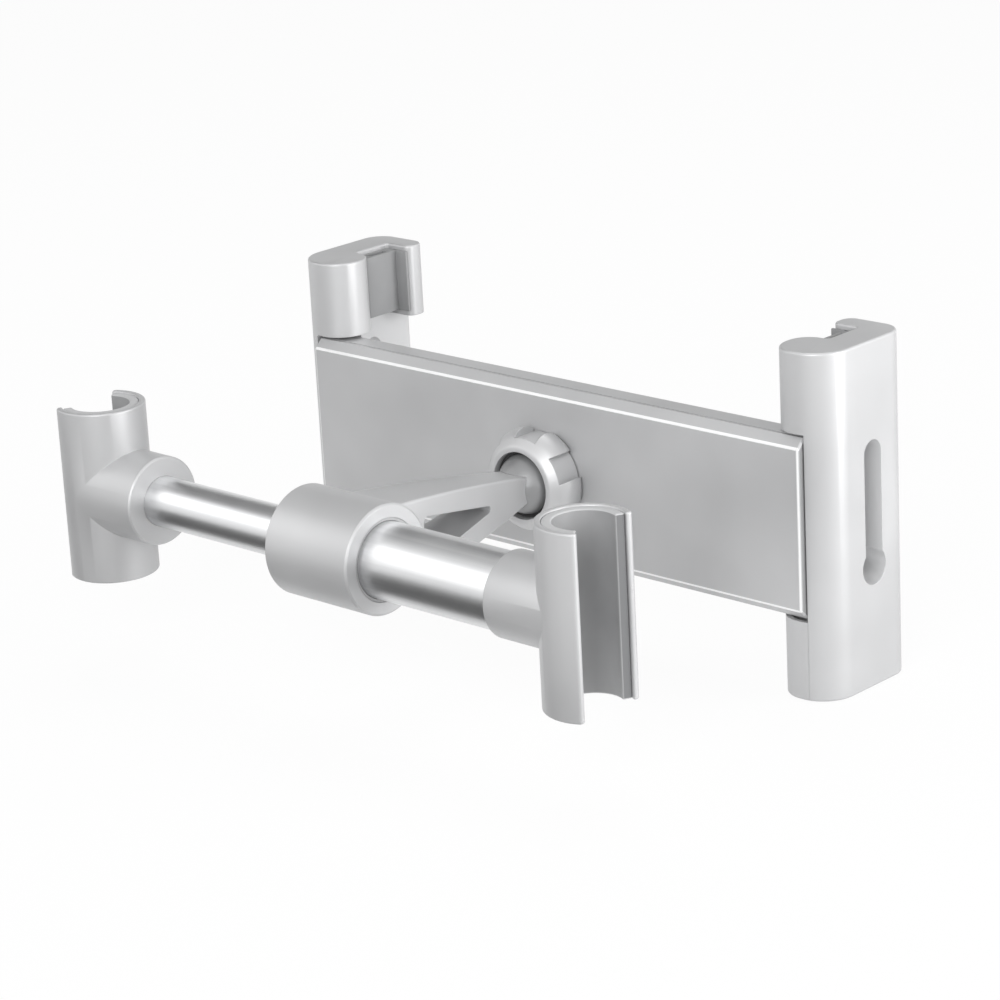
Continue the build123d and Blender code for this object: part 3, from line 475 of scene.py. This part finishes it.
def padProfile(width, depth, side):
    # a ring round the pad's hollow, with a thin web to the tablet and a thinner one to the wall
    inset, faceWeb, backWeb = padSet["inset"], padSet["faceWeb"], padSet["backWeb"]
    form = sheetForm(width, depth)
    ring = bmesh.ops.inset_region(form, faces=form.faces[:], thickness=inset,
                                  use_even_offset=True, use_boundary=True)["faces"]
    middle = [face for face in form.faces if face not in ring]
    bmesh.ops.delete(form, geom=middle, context="FACES_ONLY")
    inner = [vert for vert in form.verts if abs(vert.co.x) < (width - inset) / 2]
    outer = [vert for vert in form.verts if vert not in inner]
    hole = (width - faceWeb - backWeb, depth - 2 * (inset + padSet["leg"]))
    stretch = (hole[0] / (width - 2 * inset), hole[1] / (depth - 2 * inset), 1)
    bmesh.ops.scale(form, verts=inner, vec=stretch)
    bmesh.ops.translate(form, verts=inner, vec=(side * (faceWeb - backWeb) / 2, 0, 0))
    backY = depth / 2 - inset
    for vert in outer:
        if vert.co.x * side > 0:
            vert.co.y = backY if vert.co.y > 0 else -backY
    return form


def jawPad(node, side):
    # a hollow rubber pad: the thin face web stands off the wall, with a lip along the hook
    low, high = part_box(node)
    wallX, hookX = (high[0], low[0]) if side > 0 else (low[0], high[0])
    faceX = hookX + side * padSet["lipInset"]
    form = padProfile(abs(wallX - faceX), high[1] - low[1], side)
    thicken(form, high[2] - low[2])
    place = ((faceX + wallX) / 2, (low[1] + high[1]) / 2, low[2])
    bmesh.ops.translate(form, verts=form.verts, vec=place)
    lipEnds = sorted((hookX, faceX + side * padSet["faceWeb"]))
    addBox(form, (lipEnds[0], high[1] - padSet["lip"], low[2]), (lipEnds[1], high[1], high[2]))
    sharp = sharpEdges(form, padSet["sharpAngle"])
    roundEdges(form, sharp, padSet["edgeRound"], padSet["edgeSteps"])
    addPiece(form, node + "_soft", node)


for sideName, side in (("left", -1), ("right", 1)):
    for level in ("upper", "lower"):
        jawPad(sideName + "_" + level + "_pad", side)
print("jaw pads made")

matSet = {
    "corner": 4.0 * mm, "cornerSteps": 8, "base": 0.65 * mm, "rimRound": 0.3 * mm, "rimSteps": 3,
    "ribs": 11, "ribWidth": 1.0 * mm, "ribMargin": 5.0 * mm, "sameLevel": 0.01 * mm,
}


def ribbedMat(node):
    # a rubber mat with low ribs along it, which guards the cover's front
    low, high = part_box(node)
    base, margin = matSet["base"], matSet["ribMargin"]
    form = sheetForm(high[0] - low[0], high[2] - low[2])
    roundCorners(form, matSet["corner"], matSet["cornerSteps"])
    thicken(form, -base)
    turnForm(form, 90, "X")
    top = max(vert.co.y for vert in form.verts)
    rim = [
        edge for edge in form.edges
        if all(abs(vert.co.y - top) < matSet["sameLevel"] for vert in edge.verts)
    ]
    roundEdges(form, rim, matSet["rimRound"], matSet["rimSteps"])
    place = ((low[0] + high[0]) / 2, low[1], (low[2] + high[2]) / 2)
    bmesh.ops.translate(form, verts=form.verts, vec=place)
    lastRib = matSet["ribs"] - 1
    step = (high[2] - low[2] - 2 * margin) / lastRib
    for rib in range(matSet["ribs"]):
        ribZ = low[2] + margin + rib * step
        cutIn = margin + (matSet["corner"] / 2 if rib in (0, lastRib) else 0)
        addBox(form, (low[0] + cutIn, low[1] + base / 2, ribZ - matSet["ribWidth"] / 2),
               (high[0] - cutIn, high[1], ribZ + matSet["ribWidth"] / 2))
    addPiece(form, node + "_soft", node)


ribbedMat("front_pad")
print("holder mat made")

# the camera that the photograph's outlines were fitted with
cameraSet = {
    "place": (485.285 * mm, -532.521 * mm, 263.565 * mm),
    "azimuth": 43.814, "elevation": 18.114, "roll": -3.066,
    "lens": 122.39, "sensor": 36.0, "nearest": 10 * mm,
}
camera = bpy.data.objects.new("camera", bpy.data.cameras.new("camera"))
scene.collection.objects.link(camera)
turn = Matrix.Rotation(radians(cameraSet["azimuth"]), 4, "Z")
tip = Matrix.Rotation(radians(90 - cameraSet["elevation"]), 4, "X")
roll = Matrix.Rotation(radians(cameraSet["roll"]), 4, "Z")
camera.matrix_world = Matrix.Translation(cameraSet["place"]) @ turn @ tip @ roll
camera.data.lens = cameraSet["lens"]
camera.data.sensor_width = cameraSet["sensor"]
camera.data.clip_start = cameraSet["nearest"]
scene.camera = camera

# soft boxes stand round this middle: each has its direction, its distance in metres, its width
# and height, and its share of the light
studioMiddle = Vector((-80 * mm, 40 * mm, 0))
softBoxes = {
    "keyBox": {
        "towards": (0.42, -0.80, 0.42), "distance": 1.0, "size": (0.50, 0.50), "share": 0.56,
    },
    "leftBox": {
        "towards": (-0.66, -0.58, 0.46), "distance": 0.9, "size": (0.70, 0.45), "share": 0.115,
    },
    "sideBox": {
        "towards": (0.95, 0.32, 0.14), "distance": 0.9, "size": (0.60, 0.60), "share": 0.95,
    },
    "topBox": {
        "towards": (-0.25, 0.35, 0.90), "distance": 0.9, "size": (0.55, 0.55), "share": 0.24,
    },
}
# cards that only reflections see: they draw the dark lines along the tubes
floorLevel = cadBox[0][2]
darkCards = {
    "highCard": {
        "towards": (-0.64, 0.40, 0.66), "distance": 0.50, "size": (0.80, 0.34), "tone": 0.04,
    },
    "lowCard": {
        "flatAt": (-150 * mm, -95 * mm, floorLevel + 1 * mm), "size": (0.60, 0.165), "tone": 0.10,
    },
}
# a pale floor just under the jaws, which keeps only a faint shadow
floorSet = {
    "middle": (holderMiddle * mm, 40 * mm, floorLevel - 0.2 * mm), "size": (3.2, 3.2),
    "tone": (0.86, 0.86, 0.86, 1), "roughness": 0.9, "glowShare": 0.94,
}
worldSet = {"ambient": 0.42, "backdrop": 1.0}


def facing(spec):
    place = studioMiddle + Vector(spec["towards"]).normalized() * spec["distance"]
    turned = (studioMiddle - place).to_track_quat("-Z", "Y").to_matrix().to_4x4()
    return Matrix.Translation(place) @ turned


def addSoftBox(name, spec):
    # the energy grows with the distance squared, so a box's share is what reaches the part
    light = bpy.data.lights.new(name, "AREA")
    light.shape = "RECTANGLE"
    light.size, light.size_y = spec["size"]
    light.energy = spec["share"] * (pi * spec["distance"]) ** 2
    lamp = bpy.data.objects.new(name, light)
    scene.collection.objects.link(lamp)
    lamp.matrix_world = facing(spec)


def seenByEye(nodes, links):
    # 1 for rays from the camera, in a reflection or through glass, and 0 for rays that carry light
    rays = nodes.new("ShaderNodeLightPath").outputs
    seen = mathNode(nodes, links, "MAXIMUM", rays["Is Camera Ray"], rays["Is Glossy Ray"])
    return mathNode(nodes, links, "MAXIMUM", seen, rays["Is Transmission Ray"])


def mixSurface(nodes, links, share, plain, seen, output):
    mix = nodes.new("ShaderNodeMixShader")
    links.new(share, mix.inputs["Fac"])
    links.new(plain, mix.inputs[1])
    links.new(seen, mix.inputs[2])
    links.new(mix.outputs["Shader"], output.inputs["Surface"])


def lit(node, strength):
    # an emission or a background node shines white
    node.inputs["Color"].default_value = white
    node.inputs["Strength"].default_value = strength
    return node.outputs[0]


def addStageSheet(name, size, placing, material):
    form = sheetForm(*size)
    bmesh.ops.transform(form, verts=form.verts, matrix=placing)
    mesh = bpy.data.meshes.new(name)
    form.to_mesh(mesh)
    form.free()
    mesh.materials.append(material)
    sheet = bpy.data.objects.new(name, mesh)
    scene.collection.objects.link(sheet)
    return sheet


def addCard(name, spec):
    material, nodes, links = newMaterial(name)
    glow = lit(nodes.new("ShaderNodeEmission"), spec["tone"])
    links.new(glow, nodes["Material Output"].inputs["Surface"])
    placing = Matrix.Translation(spec["flatAt"]) if "flatAt" in spec else facing(spec)
    card = addStageSheet(name, spec["size"], placing, material)
    card.visible_camera = False
    card.visible_diffuse = False
    card.visible_shadow = False


def addFloor():
    material, nodes, links = newMaterial("paleFloor")
    shader = nodes["Principled BSDF"]
    shader.inputs["Base Color"].default_value = floorSet["tone"]
    shader.inputs["Roughness"].default_value = floorSet["roughness"]
    glow = lit(nodes.new("ShaderNodeEmission"), worldSet["backdrop"])
    share = mathNode(nodes, links, "MULTIPLY", seenByEye(nodes, links), floorSet["glowShare"])
    output = nodes["Material Output"]
    mixSurface(nodes, links, share, shader.outputs["BSDF"], glow, output)
    addStageSheet("floor", floorSet["size"], Matrix.Translation(floorSet["middle"]), material)


def setWorld():
    # the backdrop is white to the eye, and lights the part as a dimmer sky
    world = bpy.data.worlds.new("studio")
    world.use_nodes = True
    scene.world = world
    nodes, links = world.node_tree.nodes, world.node_tree.links
    ambient = lit(nodes["Background"], worldSet["ambient"])
    backdrop = lit(nodes.new("ShaderNodeBackground"), worldSet["backdrop"])
    output = nodes["World Output"]
    mixSurface(nodes, links, seenByEye(nodes, links), ambient, backdrop, output)


for boxName, spec in softBoxes.items():
    addSoftBox(boxName, spec)
setWorld()
addFloor()
for cardName, spec in darkCards.items():
    addCard(cardName, spec)
scene.view_settings.view_transform = "Standard"
print("studio set")
